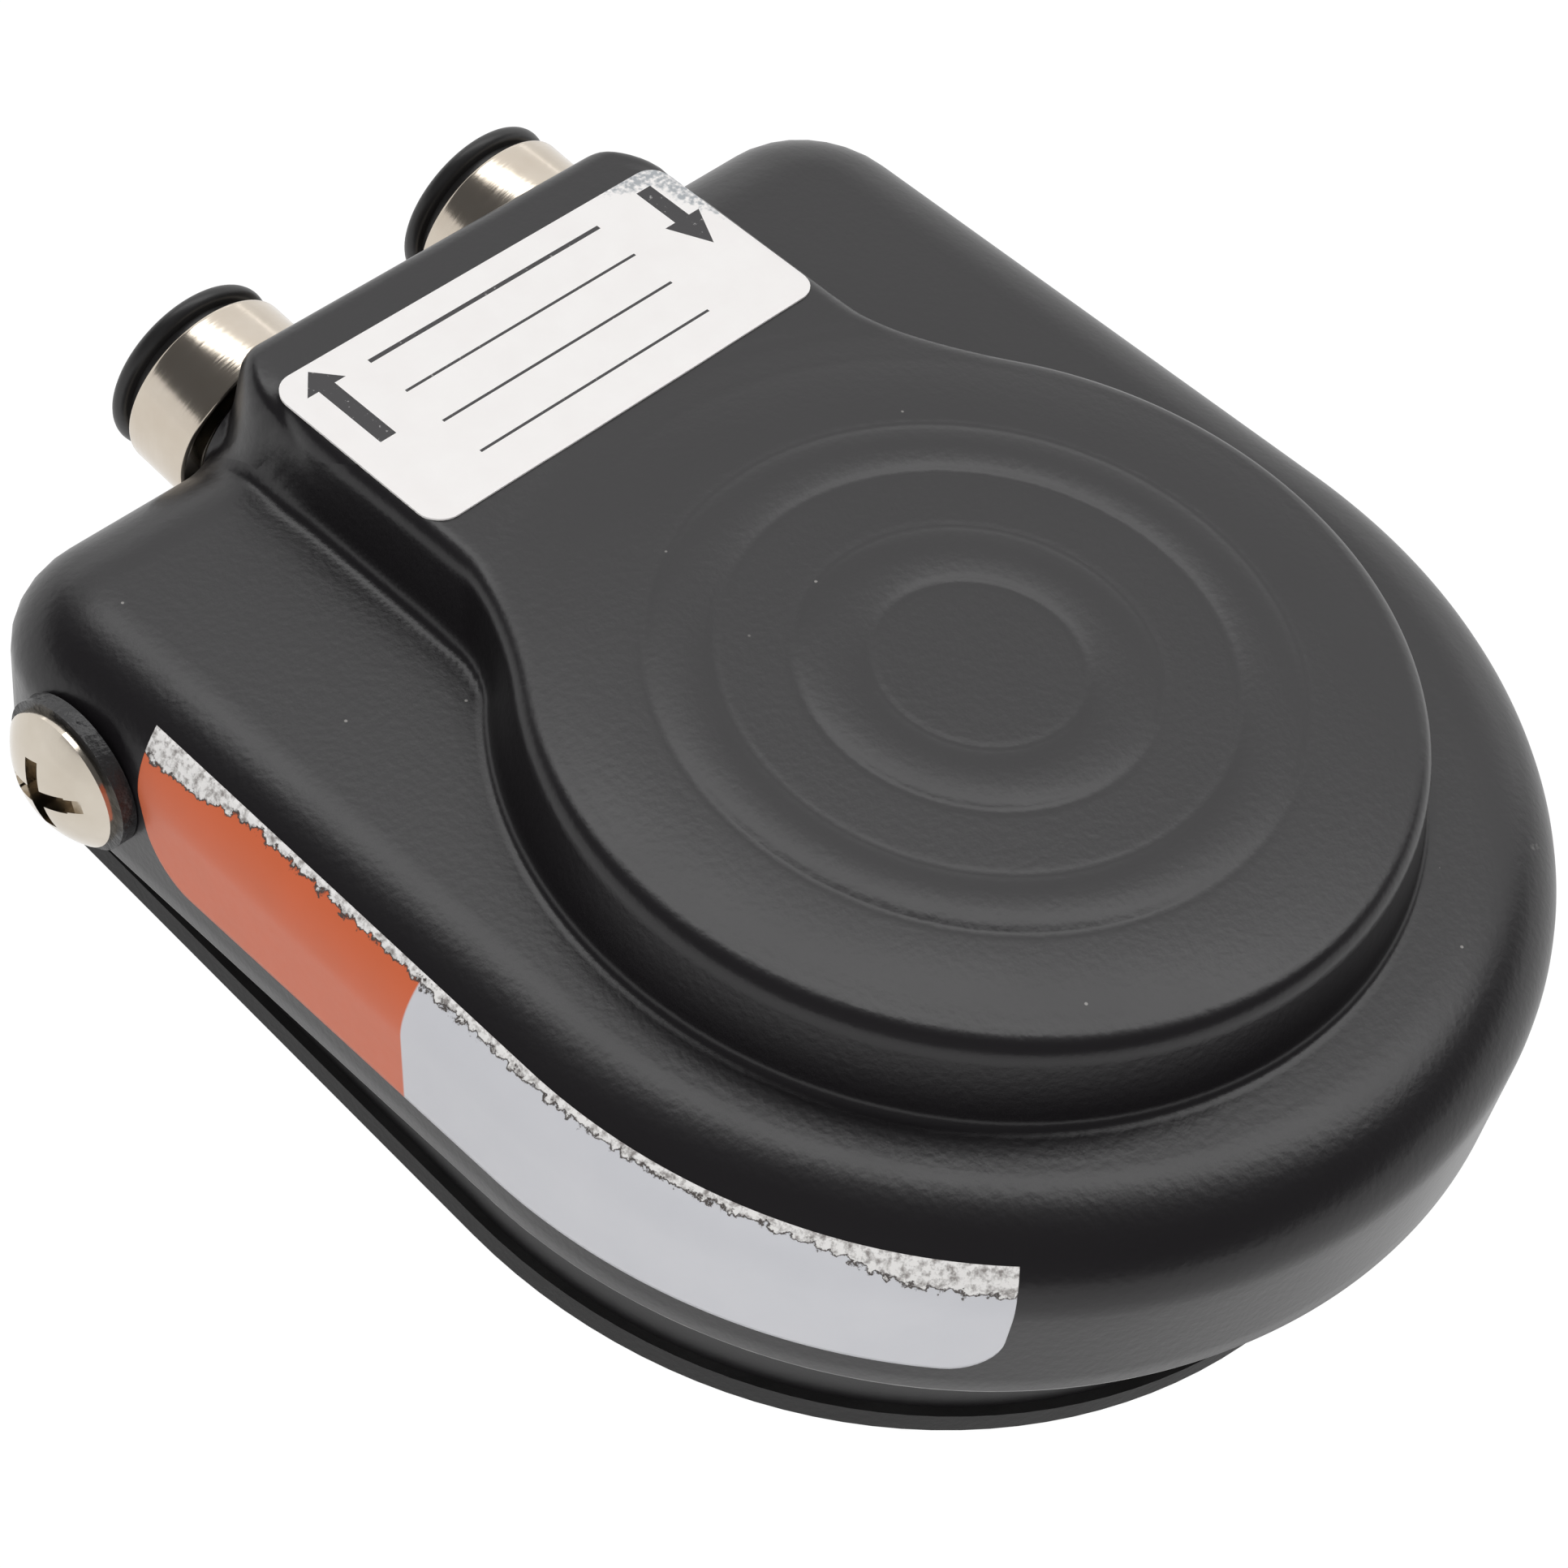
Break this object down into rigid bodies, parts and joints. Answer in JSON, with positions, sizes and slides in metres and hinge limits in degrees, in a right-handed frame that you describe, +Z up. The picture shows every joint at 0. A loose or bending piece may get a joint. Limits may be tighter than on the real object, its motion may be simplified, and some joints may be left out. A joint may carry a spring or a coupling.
{
  "type": "foot pedal air valve",
  "caption": "Black foot pedal air valve: a hinged drawn-steel pedal with a ringed round pad over a base pan, and push-in tube fittings at the rear.",
  "frame": {"origin": "on the floor, under the centre of the base pan's round front, at the bottom of the non-slip mat", "axes": "+Z up, +Y to the rear where the tubes plug in, +X to the operator's right"},
  "size_m": [0.0763, 0.091, 0.0281],
  "materials": {
    "cover_paint": "satin black paint with a fine orange peel, worn at the edges",
    "pan_paint": "satin black paint",
    "mat_rubber": "ribbed moulded rubber",
    "bumper_rubber": "moulded rubber",
    "seal_rubber": "moulded nitrile rubber",
    "zinc_steel": "zinc plated",
    "spring_steel": "drawn spring wire",
    "stainless": "ground stainless steel",
    "nickel_screw": "bright nickel plate",
    "nickel_brass": "turned brass, nickel plated",
    "plain_brass": "turned brass",
    "valve_alloy": "milled aluminium",
    "collet_acetal": "moulded acetal",
    "bush_nylon": "moulded nylon, scuffed",
    "label_film": "white polyester film, satin",
    "sticker_film": "two-tone vinyl film, orange and pale grey, worn along its top edge"
  },
  "bodies": {
    "base": {"base_pan": "pan_paint", "non_slip_mat": "mat_rubber", "stop_bumpers": "bumper_rubber", "spring_cup": "zinc_steel", "pedal_return_spring": "spring_steel", "hinge_screws": "nickel_screw", "hinge_bushes": "bush_nylon", "hinge_nuts": "zinc_steel", "valve_body": "valve_alloy", "block_screws": "zinc_steel", "stem_guide": "plain_brass", "stem_o_ring": "seal_rubber", "poppet_spring": "spring_steel", "bottom_plug": "plain_brass", "plug_o_ring": "seal_rubber", "cross_plugs": "plain_brass", "inlet_fitting": "nickel_brass", "inlet_tube_seal": "seal_rubber", "inlet_grab_ring": "stainless", "outlet_fitting": "nickel_brass", "outlet_tube_seal": "seal_rubber", "outlet_grab_ring": "stainless"},
    "pedal": {"pedal_cover": "cover_paint", "striker_plate": "zinc_steel", "name_label": "label_film", "side_sticker": "sticker_film"},
    "stem": {"valve_stem": "stainless", "poppet": "plain_brass", "poppet_seal": "seal_rubber"},
    "inlet_release": {"inlet_collet": "collet_acetal"},
    "outlet_release": {"outlet_collet": "collet_acetal"}
  },
  "joints": [
    {"name": "pedal_hinge", "type": "hinge", "parent": "base", "child": "pedal", "pos_m": [0, 0.0333, 0.01058], "axis": [1, 0, 0], "range_deg": [0, 5], "stiffness_Nm_per_rad": 4, "springref_deg": -6.88, "deforming": ["pedal_return_spring"]},
    {"name": "stem_slide", "type": "slide", "parent": "base", "child": "stem", "axis": [0, 0, -1], "range_m": [0, 0.00182], "deforming": ["poppet_spring"]},
    {"name": "inlet_collet_push", "type": "slide", "parent": "base", "child": "inlet_release", "axis": [0, -1, 0], "range_m": [0, 0.0007], "stiffness_N_per_m": 2000, "springref_m": -0.001},
    {"name": "outlet_collet_push", "type": "slide", "parent": "base", "child": "outlet_release", "axis": [0, -1, 0], "range_m": [0, 0.0007], "stiffness_N_per_m": 2000, "springref_m": -0.001}
  ],
  "couplings": [
    {"joint": "stem_slide", "follows": "pedal_hinge", "m_per_rad": 0.0207}
  ]
}
